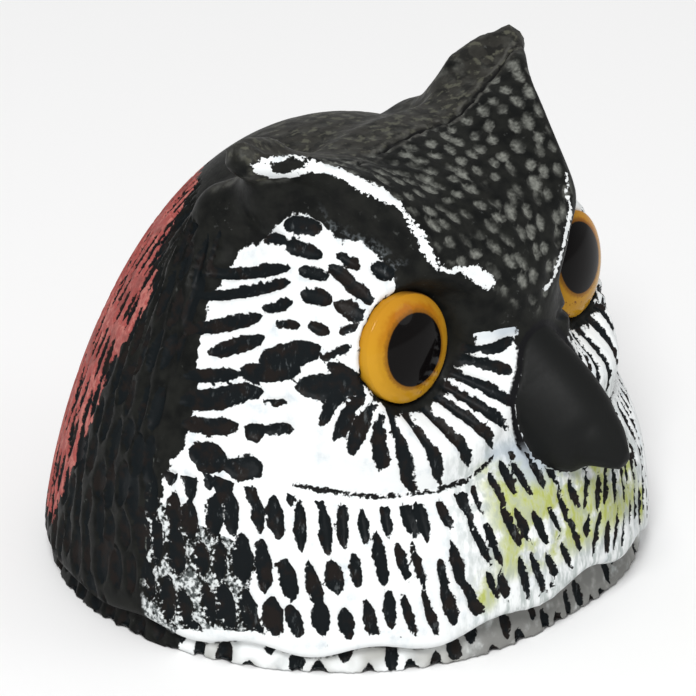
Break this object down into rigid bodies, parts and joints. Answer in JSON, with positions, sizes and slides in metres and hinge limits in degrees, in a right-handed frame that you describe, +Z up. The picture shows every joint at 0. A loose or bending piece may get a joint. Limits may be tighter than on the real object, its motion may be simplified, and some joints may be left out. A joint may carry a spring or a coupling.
{
  "type": "owl decoy head",
  "caption": "Head of a great horned owl decoy, cut flat below: pitted ruff and facial discs, brow crests rising into ear tufts, hooked beak and domed glossy eyes.",
  "frame": {"origin": "middle of the flat underside, where the head is cut below the ruff", "axes": "+Z up, the owl faces -Y, +X is the owl's left"},
  "size_m": [0.184, 0.1942, 0.15],
  "materials": {
    "body": "painted matte plastic, white network over near-black",
    "eye": "glossy"
  },
  "bodies": {
    "root": {"head": "body", "eye_left": "eye", "eye_right": "eye"}
  },
  "joints": []
}
